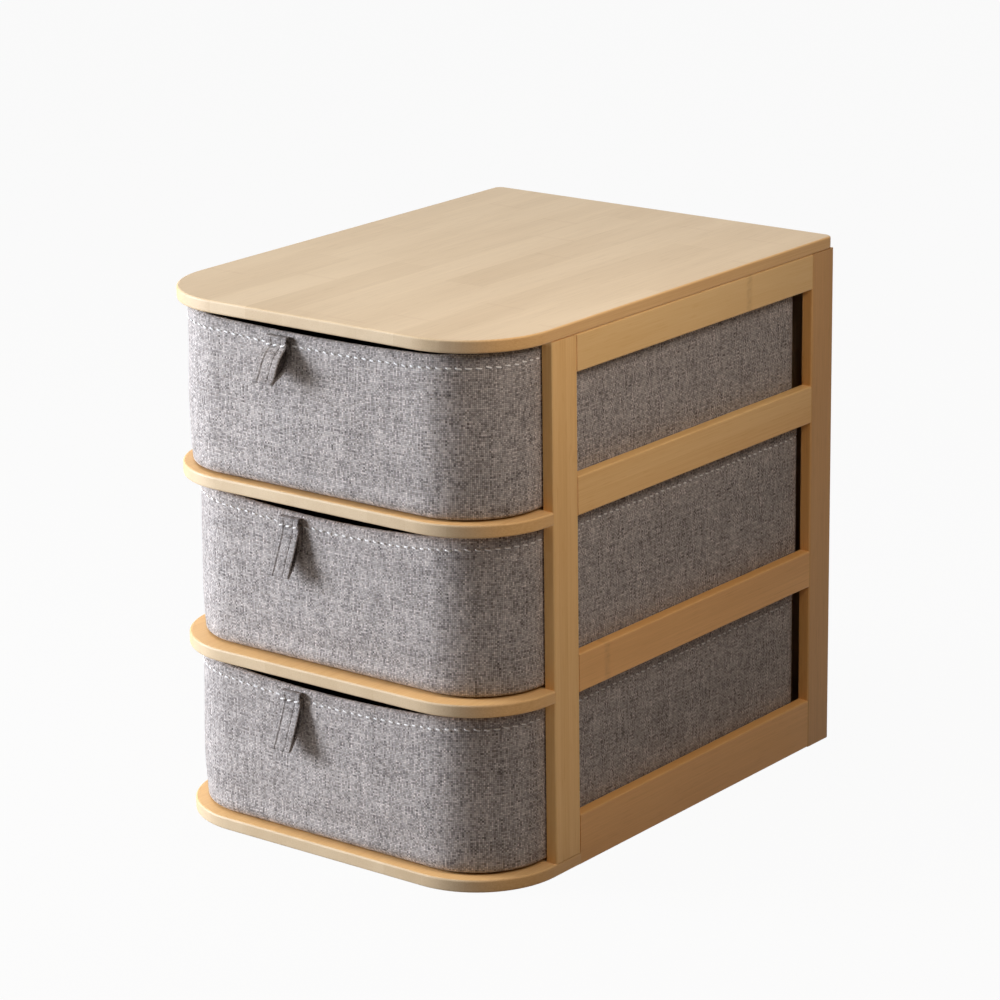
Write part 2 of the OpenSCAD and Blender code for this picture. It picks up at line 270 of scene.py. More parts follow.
def makeEdgeWear():
    tree, source, target = newGroup(
        "edgeWear",
        {"Position": ("v", (0, 0, 0)), "Centre": ("v", (0, 0, 0)), "Half Size": ("v", (1, 1, 1)),
         "Width": ("f", 0.001)},
        {"Mask": "f"})
    away = vectorCalc(tree, "SUBTRACT", source["Position"], source["Centre"])
    inside = vectorCalc(tree, "SUBTRACT", source["Half Size"], vectorCalc(tree, "ABSOLUTE", away))
    gaps = split(tree, inside)
    lowest = calc(tree, "MINIMUM", calc(tree, "MINIMUM", gaps[0], gaps[1]), gaps[2])
    highest = calc(tree, "MAXIMUM", calc(tree, "MAXIMUM", gaps[0], gaps[1]), gaps[2])
    total = calc(tree, "ADD", calc(tree, "ADD", gaps[0], gaps[1]), gaps[2])
    middle = calc(tree, "SUBTRACT", calc(tree, "SUBTRACT", total, lowest), highest)
    blotch = noise(tree, source["Position"], scale=380.0, detail=2.0)
    reach = calc(tree, "MULTIPLY", source["Width"], calc(tree, "MULTIPLY_ADD", blotch, 1.6, 0.2))
    feed(tree, target["Mask"], ramp(tree, middle, reach, 0.0))
    return tree


# Where a board turns amber: on the edges that face the sides, partly side grain and partly
# painted shade, and on the broad faces by Face, as painted shade. With dx the distance
# outside x = +-(half width - corner) and dy the distance in front of y = front + corner, a
# point lies corner - hypot(dx, dy) inside the outline, and the edge there faces the side by
# dx / corner. An edge turns amber as it faces the side, and the broad faces are amber by Face

boardEdge = dict(
    corner=0.042,               # radius of a board's front corners
    depth=(0.0009, 0.0003),     # the edge's tone sets in between these depths
    turn=(0.35, 0.90),          # and grows over these values of dx / corner
    share=0.85,
)


def makeBoardTone():
    tree, source, target = newGroup(
        "boardTone",
        {"Position": ("v", (0, 0, 0)), "Half Width": ("f", 0.1), "Front": ("f", -0.133),
         "Corner": ("f", 0.04), "Face": ("f", 0.0)},
        {"Mask": "f"})
    corner = source["Corner"]
    at = split(tree, source["Position"])
    straight = calc(tree, "SUBTRACT", source["Half Width"], corner)
    turning = calc(tree, "ADD", source["Front"], corner)
    dx = calc(tree, "MAXIMUM", calc(tree, "SUBTRACT", calc(tree, "ABSOLUTE", at[0]), straight), 0.0)
    dy = calc(tree, "MAXIMUM", calc(tree, "SUBTRACT", turning, at[1]), 0.0)
    reach = calc(tree, "SQRT", calc(tree, "MULTIPLY_ADD", dx, dx, calc(tree, "MULTIPLY", dy, dy)))
    near = ramp(tree, calc(tree, "SUBTRACT", corner, reach), *boardEdge["depth"])
    sideways = ramp(tree, calc(tree, "DIVIDE", dx, corner), *boardEdge["turn"])
    edge = calc(tree, "MULTIPLY", sideways, boardEdge["share"])
    feed(tree, target["Mask"], blendValue(tree, near, source["Face"], edge))
    return tree


# Linen weave: warp threads up the cloth and weft threads along it, each with a tone that
# drifts along its length, over and under each other like a chequerboard

linenLook = dict(
    sway=(0.05, 1.6),           # waves of the threads' lines, in a pitch and in pitches
    steady=0.34,                # how far one thread's tone lies from the next
    drift=(5.3, 0.11),          # waves of a thread's own tone, from thread to thread and along it
    warpDrift=2.6, weftDrift=1.6,
    speck=0.75,                 # and one crossing's tone from the next
    # gap: how much painted shade darkens the gaps between threads
    cloud=(60, 0.35),           # soft patches: waves in a metre, and their share
    gap=0.55,                   # how dark the gaps between threads are
    hue=(0.9, 0.30),            # warm threads: waves from thread to thread, and their share
    relief=0.30,
)


def makeLinenWeave():
    look = linenLook
    tree, source, target = newGroup(
        "linenWeave",
        {"UV": ("v", (0, 0, 0)), "Pitch": ("f", 0.0007), "Contrast": ("f", 1.0),
         "Light": ("c", (1, 1, 1, 1)), "Dark": ("c", (0, 0, 0, 1)), "Warm": ("c", (0, 0, 0, 1))},
        {"Color": "c", "Height": "f", "Slub": "f"})
    at = split(tree, source["UV"])
    across = calc(tree, "DIVIDE", at[0], source["Pitch"])
    up = calc(tree, "DIVIDE", at[1], source["Pitch"])
    swayWaves, swayReach = look["sway"]
    swayAt = spot(tree, (across, swayWaves), (up, swayWaves))
    sway = calc(tree, "MULTIPLY_ADD", noise(tree, swayAt, detail=1.0), swayReach, -swayReach / 2)
    across = calc(tree, "ADD", across, sway)
    up = calc(tree, "ADD", up, sway)
    warp = calc(tree, "FLOOR", across)
    weft = calc(tree, "FLOOR", up)
    over = calc(tree, "MODULO", calc(tree, "ABSOLUTE", calc(tree, "ADD", warp, weft)), 2.0)

    def threadTone(number, along, side, drifting):
        steady = chance(tree, join(tree, number, side))
        driftAt = spot(tree, (number, look["drift"][0]), (along, look["drift"][1]), side)
        drift = noise(tree, driftAt, detail=2.0, roughness=0.6)
        return calc(tree, "MULTIPLY_ADD", calc(tree, "SUBTRACT", drift, 0.5), drifting,
                    calc(tree, "MULTIPLY", calc(tree, "SUBTRACT", steady, 0.5), look["steady"]))

    warpTone = threadTone(warp, up, 11.0, look["warpDrift"])
    weftTone = threadTone(weft, across, 23.0, look["weftDrift"])
    tone = blendValue(tree, over, warpTone, weftTone)
    speck = calc(tree, "SUBTRACT", chance(tree, join(tree, warp, weft)), 0.5)
    cloudWaves, cloudShare = look["cloud"]
    cloudAt = spot(tree, (at[0], cloudWaves), (at[1], cloudWaves))
    cloud = calc(tree, "SUBTRACT", noise(tree, cloudAt, detail=2.0), 0.5)
    lightness = calc(tree, "MULTIPLY_ADD", speck, look["speck"], tone)
    lightness = calc(tree, "MULTIPLY_ADD", cloud, cloudShare, lightness)
    lightness = calc(tree, "MULTIPLY_ADD", lightness, source["Contrast"], 0.5)

    # each crossing is a small pillow, and painted shade darkens the gaps between threads
    acrossRound = calc(tree, "SINE", calc(tree, "MULTIPLY", calc(tree, "FRACT", across), pi))
    upRound = calc(tree, "SINE", calc(tree, "MULTIPLY", calc(tree, "FRACT", up), pi))
    pillow = calc(tree, "MULTIPLY", acrossRound, upRound)
    gap = calc(tree, "MULTIPLY", ramp(tree, pillow, 0.34, 0.0), look["gap"])
    lightness = calc(tree, "SUBTRACT", lightness, calc(tree, "MULTIPLY", gap, source["Contrast"]))
    cloth = blendColor(tree, lightness, source["Dark"], source["Light"])
    hueWaves, hueShare = look["hue"]
    hueAt = spot(tree, (warp, hueWaves), (weft, hueWaves))
    hue = calc(tree, "MULTIPLY", ramp(tree, noise(tree, hueAt, detail=1.0), 0.45, 0.75), hueShare)
    feed(tree, target["Color"], blendColor(tree, hue, cloth, source["Warm"]))
    feed(tree, target["Height"], calc(tree, "MULTIPLY_ADD", tone, look["relief"], pillow))
    feed(tree, target["Slub"], tone)
    return tree


bambooGrain = makeBambooGrain()
edgeWear = makeEdgeWear()
boardTone = makeBoardTone()
linenWeave = makeLinenWeave()


def newMaterial(name, **shader):
    material = bpy.data.materials.new(name)
    material.use_nodes = True
    tree = material.node_tree
    surface = tree.nodes["Principled BSDF"]
    for key, value in shader.items():
        surface.inputs[key.replace("_", " ")].default_value = value
    return material, tree, surface


def addBump(tree, surface, height, strength, distance):
    inputs = {"Height": height, "Strength": strength, "Distance": distance}
    feed(tree, surface.inputs["Normal"], place(tree, "ShaderNodeBump", inputs).outputs[0])


# Bamboo pieces of the carcass. across, along and through say which axis of the object
# runs across the strips, along the grain and through the thickness. A rail or post is one
# length of bamboo, so its strips are longer than it

paleBamboo = dict(light=(0.715, 0.558, 0.362, 1), dark=(0.560, 0.408, 0.240, 1))
# The frame's amber is partly the bamboo's own colour and partly painted shade
amberBamboo = dict(light=(0.970, 0.610, 0.245, 1), dark=(0.800, 0.430, 0.130, 1))
# Lit and shaded copies of the frame's bamboo: painted light for the top rails, and painted shade for the
# lower and bottom rails and the rear posts
shadedBamboo = dict(light=(0.900, 0.480, 0.160, 1), dark=(0.700, 0.335, 0.088, 1))
litTopBamboo = dict(light=(0.985, 0.665, 0.300, 1), dark=(0.860, 0.520, 0.190, 1))
shadedRearBamboo = dict(light=(0.740, 0.395, 0.135, 1), dark=(0.540, 0.265, 0.070, 1))
boardBamboo = dict(paleBamboo, along="Y", across="X", through="Z", width=0.021, length=0.230)
# the shelves' tops take painted shade where they lie under the drawers
shadedShelfBamboo = dict(boardBamboo, face=0.75)
railBamboo = dict(amberBamboo, along="Y", across="Z", through="X", width=0.026, length=9.0)
# painted light on the top rails, and painted shade that grows darker towards the bottom and the back
litTopRailBamboo = dict(railBamboo, **litTopBamboo)
shadedLowRailBamboo = dict(railBamboo, **shadedBamboo)
postBamboo = dict(amberBamboo, along="Z", across="Y", through="X", width=0.0062, length=9.0)
shadedRearPostBamboo = dict(postBamboo, **shadedRearBamboo)
wornBamboo = (0.78, 0.60, 0.37, 1)
wear = dict(width=0.0011, share=0.14, dulls=0.10)
farAway = 9.0               # a plain node placed here is off every piece

carcassPieces = {
    "top_board": dict(boardBamboo, seed=1.0),
    "upper_shelf": dict(shadedShelfBamboo, seed=2.3),
    "lower_shelf": dict(shadedShelfBamboo, seed=3.1),
    "bottom_board": dict(shadedShelfBamboo, seed=4.4),
    "left_front_post": dict(postBamboo, seed=5.2),
    "right_front_post": dict(postBamboo, seed=6.7),
    "left_rear_post": dict(shadedRearPostBamboo, seed=7.5),
    "right_rear_post": dict(shadedRearPostBamboo, seed=8.1),
    "left_top_rail": dict(litTopRailBamboo, seed=9.6),
    "right_top_rail": dict(litTopRailBamboo, seed=10.4, node=0.062),
    "left_upper_rail": dict(railBamboo, seed=11.3, node=-0.010),
    "right_upper_rail": dict(railBamboo, seed=12.8),
    "left_lower_rail": dict(shadedLowRailBamboo, seed=13.9),
    "right_lower_rail": dict(shadedLowRailBamboo, seed=14.2, node=-0.050),
    "left_bottom_rail": dict(shadedLowRailBamboo, seed=15.7, node=0.035),
    "right_bottom_rail": dict(shadedLowRailBamboo, seed=16.5),
}


def bambooMaterial(name, piece):
    material, tree, surface = newMaterial(name + "_bamboo", Roughness=0.42, IOR=1.5, Specular_IOR_Level=0.25,
                                          Coat_Weight=0.08, Coat_Roughness=0.40)
    position = objectPoint(tree)
    axes = dict(zip("XYZ", split(tree, position)))
    grain = useGroup(tree, bambooGrain, {
        "Across": axes[piece["across"]], "Along": axes[piece["along"]],
        "Through": axes[piece["through"]], "Seed": piece["seed"],
        "Strip Width": piece["width"], "Strip Length": piece["length"],
        "Node Place": piece.get("node", farAway), "Light": piece["light"], "Dark": piece["dark"]})
    low, high = (Vector(corner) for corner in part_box(name))
    rubbed = useGroup(tree, edgeWear, {
        "Position": position, "Centre": (low + high) / 2, "Half Size": (high - low) / 2,
        "Width": wear["width"]})["Mask"]
    wood = grain["Color"]
    # painted shade: a board's side-facing edges, partly side grain, and the shelves' tops turn amber
    if piece["through"] == "Z":
        tone = useGroup(tree, boardTone, {
            "Position": position, "Half Width": high[0], "Front": low[1],
            "Corner": boardEdge["corner"], "Face": piece.get("face", 0.0)})["Mask"]
        amber = blendColor(tree, grain["Fibre"], shadedBamboo["dark"], amberBamboo["light"])
        wood = blendColor(tree, tone, wood, amber)
    worn = blendColor(tree, calc(tree, "MULTIPLY", rubbed, wear["share"]), wood, wornBamboo)
    feed(tree, surface.inputs["Base Color"], worn)
    gloss = calc(tree, "MULTIPLY_ADD", grain["Fibre"], 0.16, 0.38)
    feed(tree, surface.inputs["Roughness"], calc(tree, "MULTIPLY_ADD", rubbed, wear["dulls"], gloss))
    addBump(tree, surface, grain["Height"], 0.22, 0.00012)
    return material


def dress(node, material):
    slots = cadNodes[node].data.materials
    slots.clear()
    slots.append(material)


for nodeName, settings in carcassPieces.items():
    dress(nodeName, bambooMaterial(nodeName, settings))
print("bamboo pieces dressed:", len(carcassPieces))


# Thin panel, dowels and greyboard, which hardly show

dowelWood = dict(light=(0.66, 0.47, 0.27, 1), dark=(0.48, 0.31, 0.16, 1))
plainWoods = {
    # painted shade: the thin bamboo panel is coloured far darker than the other bamboo, for the shaded slot
    # behind the drawers
    "back_panel": dict(light=(0.42, 0.27, 0.14, 1), dark=(0.27, 0.16, 0.075, 1), seed=21.0),
    "post_dowels": dict(dowelWood, seed=22.0),
    "rail_dowels": dict(dowelWood, seed=23.0),
    "shelf_dowels": dict(dowelWood, seed=24.0),
}


def plainWoodMaterial(name, piece):
    material, tree, surface = newMaterial(name + "_wood", Roughness=0.62, IOR=1.45)
    axes = split(tree, objectPoint(tree))
    grain = useGroup(tree, bambooGrain, {
        "Across": axes["X"], "Along": axes["Z"], "Through": axes["Y"], "Seed": piece["seed"],
        "Strip Width": 0.047, "Strip Length": 0.5, "Light": piece["light"], "Dark": piece["dark"]})
    feed(tree, surface.inputs["Base Color"], grain["Color"])
    feed(tree, surface.inputs["Roughness"], calc(tree, "MULTIPLY_ADD", grain["Fibre"], 0.2, 0.52))
    addBump(tree, surface, grain["Height"], 0.35, 0.00015)
    return material


def greyboardMaterial():
    material, tree, surface = newMaterial("greyboard", IOR=1.45)
    position = objectPoint(tree)
    pulp = noise(tree, position, scale=900.0, detail=4.0, roughness=0.7)
    cloud = noise(tree, position, scale=60.0, detail=2.0)
    share = calc(tree, "MULTIPLY_ADD", calc(tree, "SUBTRACT", cloud, 0.5), 0.5, pulp)
    feed(tree, surface.inputs["Base Color"],
         blendColor(tree, share, (0.22, 0.20, 0.17, 1), (0.42, 0.38, 0.32, 1)))
    feed(tree, surface.inputs["Roughness"], calc(tree, "MULTIPLY_ADD", pulp, 0.15, 0.78))
    addBump(tree, surface, pulp, 0.5, 0.0001)
    return material


for nodeName, settings in plainWoods.items():
    dress(nodeName, plainWoodMaterial(nodeName, settings))
greyboard = greyboardMaterial()
for nodeName in cadNodes:
    if nodeName.endswith(("_front_board", "_wall_board", "_base_board")):
        dress(nodeName, greyboard)


# Cloth materials, on the pieces' own UV maps, which are in metres

cloths = {
    "drawerLinen": dict(light=(0.86, 0.782, 0.728, 1), dark=(0.108, 0.096, 0.091, 1),
                        warm=(0.36, 0.29, 0.23, 1), pitch=0.00084, contrast=0.56),
    # the strap's linen is the drawer linen darkened, as painted shade
    "shadedStrapLinen": dict(light=(0.68, 0.622, 0.586, 1), dark=(0.088, 0.078, 0.074, 1),
                       warm=(0.33, 0.26, 0.21, 1), pitch=0.00072, contrast=0.56),
    # painted shade: a dark cloth for the shaded space between the strap's layers
    "strapShadeCloth": dict(light=(0.135, 0.116, 0.105, 1), dark=(0.032, 0.027, 0.024, 1),
                        warm=(0.11, 0.085, 0.07, 1), pitch=0.00070, contrast=0.8),
    "liningCloth": dict(light=(0.165, 0.16, 0.16, 1), dark=(0.095, 0.092, 0.093, 1),
                        warm=(0.12, 0.105, 0.10, 1), pitch=0.00045, contrast=0.5),
}


def clothMaterial(name, cloth):
    material, tree, surface = newMaterial(name, IOR=1.5, Specular_IOR_Level=0.05,
                                          Sheen_Weight=0.05, Sheen_Roughness=0.5)
    uv = place(tree, "ShaderNodeUVMap", uv_map="clothUV").outputs[0]
    weave = useGroup(tree, linenWeave, {
        "UV": uv, "Pitch": cloth["pitch"], "Contrast": cloth["contrast"],
        "Light": cloth["light"], "Dark": cloth["dark"], "Warm": cloth["warm"]})
    feed(tree, surface.inputs["Base Color"], weave["Color"])
    feed(tree, surface.inputs["Roughness"], calc(tree, "MULTIPLY_ADD", weave["Slub"], -0.10, 0.78))
    addBump(tree, surface, weave["Height"], 0.6, 0.00022)
    return material


def threadMaterial():
    material, tree, surface = newMaterial("paleThread", IOR=1.5, Sheen_Weight=0.3)
    twist = noise(tree, objectPoint(tree), scale=2600.0, detail=2.0)
    feed(tree, surface.inputs["Base Color"],
         blendColor(tree, twist, (0.82, 0.79, 0.75, 1), (1.0, 0.98, 0.94, 1)))
    feed(tree, surface.inputs["Roughness"], calc(tree, "MULTIPLY_ADD", twist, 0.2, 0.45))
    addBump(tree, surface, twist, 0.5, 0.0001)
    return material


clothMaterials = {name: clothMaterial(name, cloth) for name, cloth in cloths.items()}
paleThread = threadMaterial()
print("materials made")


def pieceFrom(name, vertices, faces, material):
    mesh = bpy.data.meshes.new(name)
    mesh.from_pydata(vertices.tolist(), [], faces)
    mesh.polygons.foreach_set("use_smooth", np.ones(len(faces), bool))
    mesh.materials.append(material)
    piece = bpy.data.objects.new(name, mesh)
    bpy.context.scene.collection.objects.link(piece)
    return piece


# A mesh from a grid of points: rows along the profile, columns along the path. Columns
# may close round, a pole closes the first row with a fan, and caps close both end rows

def gridObject(name, points, uv, material, closeColumns=False, pole=None, caps=False):
    rows, columns = points.shape[:2]
    row = np.arange(rows - 1)[:, None]
    column = np.arange(columns if closeColumns else columns - 1)[None, :]
    nextColumn = (column + 1) % columns
    corners = [(row, column), (row, nextColumn), (row + 1, nextColumn), (row + 1, column)]
    quads = np.stack([r * columns + c for r, c in corners], axis=-1).reshape(-1, 4)
    uvCorners = [(row, column), (row, column + 1), (row + 1, column + 1), (row + 1, column)]
    quadUv = np.stack([uv[r, c] for r, c in uvCorners], axis=-2).reshape(-1, 2)
    vertices = points.reshape(-1, 3)
    faces = quads.tolist()
    around = np.arange(columns)
    if pole is not None:
        vertices = np.vstack([vertices, pole])
        fan = np.stack([np.full(columns, len(vertices) - 1), (around + 1) % columns, around], axis=-1)
        poleUv = np.broadcast_to(np.array(pole)[:2], (columns, 2))
        fanUv = np.stack([poleUv, uv[0, around + 1], uv[0, around]], axis=1)
        faces += fan.tolist()
        quadUv = np.vstack([quadUv, fanUv.reshape(-1, 2)])
    if caps:
        faces += [around[::-1].tolist(), ((rows - 1) * columns + around).tolist()]
        quadUv = np.vstack([quadUv, uv[0, around[::-1]], uv[-1, around]])
    piece = pieceFrom(name, vertices, faces, material)
    piece.data.uv_layers.new(name="clothUV").data.foreach_set("uv", quadUv.astype(np.float32).ravel())
    return piece


def thicken(piece, thickness, offset=-1.0):
    solid = piece.modifiers.new("thickness", "SOLIDIFY")
    solid.thickness = thickness
    solid.offset = offset


# Drawers

drawerShape = dict(
    frontRadius=0.0355,
    backRadius=0.013,
    wall=0.0034,            # board with cloth on both sides
    cloth=0.0005,
    lift=0.0004,            # the turned edge stands this far over the base cloth's face
    footRadius=0.0018,      # round where the cloth turns under the base
    turnIn=0.009,           # width of the cloth's edge under the base
    hem=0.014,              # height of the hem inside the rim
    sagHalfWidth=0.075,
    sag=dict(top=0.0022, middle=0.0046, bottom=0.0042),
    swell=0.0008,           # how far the front and its corners stand out at mid height
    belly=0.0019,           # how much further the middle of the front stands out
    toe=0.0020,             # how far the front stands out just above the base
    ripple=0.00016,
    free=0.034,             # the cloth is free of the posts up to here behind the front,
    fade=0.024,             # and its swelling fades out over this length
    step=0.0012,            # spacing of the points along the cloth, twice that up the wall
    fine=0.0100,            # height below the rim where the wall's points are close
)
hemShape = dict(
    pull=0.00028, pullWidth=0.0009,     # the stitching draws the cloth in along its line
    puff=0.00018, puffBelow=0.0030, puffWidth=0.0013,
    lap=0.0003, lapWidth=0.0022,        # the seam in the middle of the back stands out
)
stitching = dict(
    pitch=0.0044, length=0.0032, below=0.0058, thread=0.00044, slant=0.00022,
    lengths=(0.82, 1.08), slants=(0.4, 1.6),    # shares of the length and slant, at random
    wander=0.00012,
    standOut=0.75, dip=1.5,             # of the thread's radius, in the middle and at the ends
    tackOut=0.8, tackPitch=0.92,        # and for the three stitches across a strap's root
    tackDown=0.0023, tackSlant=0.0003,
)


# The drawer's outline seen from above, at a distance from its back middle, walked
# anticlockwise. The centre, radius and direction of a turning arm are each piecewise
# linear in that distance, so the arm's tip draws both the straights and the corners

def outlineKnots(low, high, shape):
    halfWidth = (high[0] - low[0]) / 2
    front, back = shape["frontRadius"], shape["backRadius"]
    yFront, yBack = low[1] + front, high[1] - back
    side = yBack - yFront
    lengths = [halfWidth - back, back * pi / 2, side, front * pi / 2, 2 * (halfWidth - front),
               front * pi / 2, side, back * pi / 2, halfWidth - back]
    xBack, xFront = halfWidth - back, halfWidth - front
    return dict(
        at=np.concatenate([[0.0], np.cumsum(lengths)]),
        x=np.array([0, -xBack, -xBack, -xFront, -xFront, xFront, xFront, xBack, xBack, 0]),
        y=np.array([yBack, yBack, yBack, yFront, yFront, yFront, yFront, yBack, yBack, yBack]),
        radius=np.array([back, back, back, front, front, front, front, back, back, back]),
        angle=np.array([1, 1, 2, 2, 3, 3, 4, 4, 5, 5]) * pi / 2,
    )


def walkOutline(knots, distance):
    distance = np.mod(distance, knots["at"][-1])
    x, y, radius, angle = (np.interp(distance, knots["at"], knots[key])
                           for key in ("x", "y", "radius", "angle"))
    normal = np.stack([np.cos(angle), np.sin(angle)], axis=-1)
    return np.stack([x, y], axis=-1) + radius[..., None] * normal, normal


# Drop of the rim at a place on the outline: an arc over the middle of the front

def rimDrop(place2d, yMiddle, sag, halfWidth):
    radius = (halfWidth ** 2 + sag ** 2) / (2 * sag)
    x = np.minimum(np.abs(place2d[..., 0]), halfWidth)
    return np.where(place2d[..., 1] < yMiddle, np.sqrt(radius ** 2 - x ** 2) - (radius - sag), 0.0)


# Soft unevenness of cloth: a sum of a few long waves that run round the drawer and up it

def unevenness(around, up, perimeter, seed, count=26):
    rng = np.random.default_rng(seed)
    turns = rng.integers(4, 26, count)
    rises = rng.uniform(-40, 40, count)
    phases = rng.uniform(0, 2 * pi, count)
    sizes = rng.normal(0, 1, count) / np.sqrt(count)
    wave = 2 * pi * (turns * around[..., None] / perimeter + rises * up[..., None]) + phases
    return (np.sin(wave) * sizes).sum(axis=-1)


def smooth(share):                      # eased from 0 to 1
    share = np.clip(share, 0, 1)
    return share * share * (3 - 2 * share)


def stretch(first, last, step):
    return np.linspace(first, last, max(2, int(round(abs(last - first) / step)) + 1))


def aheadOfPosts(y, drawer):            # 1 where the cloth is free, 0 beside the posts
    return smooth((drawer["front"] + drawerShape["free"] - y) / drawerShape["fade"])


# How far the cloth stands out from the outline. Front and corners swell, most in the
# lower half, and fade out before the posts. The middle of the front has a belly, and its
# foot a toe, and long waves lie over all. The hem stitching draws the cloth in, most at
# each stitch, and a lap stands out at the seam in the middle of the back

def clothShift(around, up, place2d, drawer):
    shape, hem, height, perimeter = drawerShape, hemShape, drawer["height"], drawer["perimeter"]
    around, up = np.broadcast_arrays(around, up)
    share = np.clip(up / height, 0, 1)
    body = np.sin(pi * share ** 0.62) ** 1.8
    x, y = place2d[..., 0] + 0 * up, place2d[..., 1] + 0 * up
    free = aheadOfPosts(y, drawer)
    belly = np.clip(1 - (x / shape["sagHalfWidth"]) ** 2, 0, 1) ** 1.5
    waves = unevenness(around, up, perimeter, drawer["seed"]) * (0.25 + 0.75 * free)
    toe = shape["toe"] * np.exp(-((share - 0.05) / 0.06) ** 2) * smooth(up / 0.003) * free * belly ** 0.4
    shift = body * (free * (shape["swell"] + shape["belly"] * belly) + shape["ripple"] * waves) + toe
    below = height - up
    beat = 0.5 + 0.5 * np.cos(2 * pi * around * drawer["stitches"] / perimeter)
    pull = np.exp(-((below - stitching["below"]) / hem["pullWidth"]) ** 2) * (0.45 + 0.55 * beat)
    puff = np.exp(-((below - hem["puffBelow"]) / hem["puffWidth"]) ** 2)
    seamGap = np.minimum(around, perimeter - around)
    lap = np.exp(-(seamGap / hem["lapWidth"]) ** 4)
    return shift - hem["pull"] * pull + hem["puff"] * puff + hem["lap"] * lap * (share > 0.03)


# Profile of the cover from under the base, up the wall, over the rim and down the hem.
# Each point has an inset from the outline, a height, and the share of the rim's drop
# that it follows

def coverProfile(height, shape):
    foot, rim, step = shape["footRadius"], shape["wall"] / 2, shape["step"]
    under = stretch(-shape["turnIn"], -foot, 3 * step)[:-1]
    turn = np.linspace(0, pi / 2, 6)
    wall = np.concatenate([stretch(foot, height - shape["fine"], 2 * step)[1:],
                           stretch(height - shape["fine"], height - rim, step)[1:-1]])
    roll = np.linspace(0, pi, 13)
    hem = stretch(height - rim, height - shape["hem"], step)[1:]
    out = np.concatenate([under, -foot + foot * np.sin(turn), 0 * wall, -rim + rim * np.cos(roll),
                          np.full(len(hem), -2 * rim)])
    up = np.concatenate([0 * under, foot - foot * np.cos(turn), wall, height - rim + rim * np.sin(roll), hem])
    follow = np.concatenate([0 * under, 0 * turn, (wall - foot) / (height - rim - foot), np.ones(len(roll)),
                             (hem - height + shape["hem"]) / (shape["hem"] - rim)])
    length = np.concatenate([[0.0], np.cumsum(np.hypot(np.diff(out), np.diff(up)))])
    return out, up, follow, length


def drawerCover(drawer):
    perimeter = drawer["perimeter"]
    columns = int(perimeter / drawerShape["step"])
    around = np.linspace(0, perimeter, columns, endpoint=False)[None, :]
    out, up, follow, length = (line[:, None] for line in coverProfile(drawer["height"], drawerShape))
    place2d, normal = walkOutline(drawer["knots"], around)
    inside = out < -0.5 * drawerShape["wall"]
    shift = clothShift(around, up, place2d, drawer)
    shift = np.where(inside, -0.4 * np.clip(shift, -0.0003, 0.0003), shift) * (up > 0)
    flat = place2d + normal * (out + shift)[..., None]
    z = drawer["foot"] + up - follow * drawer["drop"](place2d)
    points = np.concatenate([flat, z[..., None]], axis=-1)
    aroundClosed = np.append(around, perimeter)[None, :]
    uv = np.stack(np.broadcast_arrays(aroundClosed + drawer["seed"] * 0.37, length), axis=-1)
    cover = gridObject(drawer["name"] + "_drawer_cloth", points, uv, clothMaterials["drawerLinen"],
                       closeColumns=True)
    thicken(cover, drawerShape["cloth"])
    return cover


# Flat cloth inside the outline: rings of the outline shrunk towards the middle. Its
# texture runs straight across it, whatever the rings do

def clothPanel(name, drawer, inset, z, cloth, material, wave=0.0):
    around = np.linspace(0, drawer["perimeter"], 180, endpoint=False)[None, :]
    place2d, normal = walkOutline(drawer["knots"], around)
    edge = place2d - normal * inset
    middle = np.array([0.0, (edge[..., 1].min() + edge[..., 1].max()) / 2])
    shares = np.linspace(0.05, 1, 16)[:, None]
    flat = middle + shares[..., None] * (edge - middle)
    soft = unevenness(around + 0 * shares, 0.06 * shares + 0 * around, drawer["perimeter"],
                      drawer["seed"] + 20)
    lift = z + wave * np.abs(soft) * np.sin(pi * shares) ** 2
    points = np.concatenate([flat, lift[..., None]], axis=-1)
    uv = np.concatenate([flat, flat[:, :1]], axis=1)
    panel = gridObject(name, points, uv, material, closeColumns=True, pole=(*middle, z))
    thicken(panel, cloth)
    return panel


# Lining: a floor, and a band that stands against the boards and runs up behind the hem

liningShape = dict(inset=0.00285, floor=0.00285, cloth=0.00035, top=0.0610, wave=0.00022, floorWave=0.0003)
baseShape = dict(inset=0.006, lift=0.00003, cloth=0.00034)


def liningBand(drawer):
    perimeter = drawer["perimeter"]
    around = np.linspace(0, perimeter, 240, endpoint=False)[None, :]
    up = np.linspace(0, liningShape["top"] - liningShape["floor"], 18)[:, None]
    place2d, normal = walkOutline(drawer["knots"], around)
    soft = unevenness(around + 0 * up, up + 0 * around, perimeter, drawer["seed"] + 10)
    inset = liningShape["inset"] + liningShape["wave"] * np.abs(soft) * np.sin(pi * up / up.max())
    flat = place2d - normal * inset[..., None]
    z = np.broadcast_to(drawer["low"] + liningShape["floor"] + up, flat.shape[:2])
    points = np.concatenate([flat, z[..., None]], axis=-1)
    aroundClosed = np.append(around, perimeter)[None, :]
    uv = np.stack(np.broadcast_arrays(aroundClosed, up + drawer["seed"]), axis=-1)
    band = gridObject(drawer["name"] + "_lining_band", points, uv, clothMaterials["liningCloth"],
                      closeColumns=True)
    thicken(band, liningShape["cloth"])
    return band


# Stitches: round threads along the given middle lines, which taper to a pole at each end

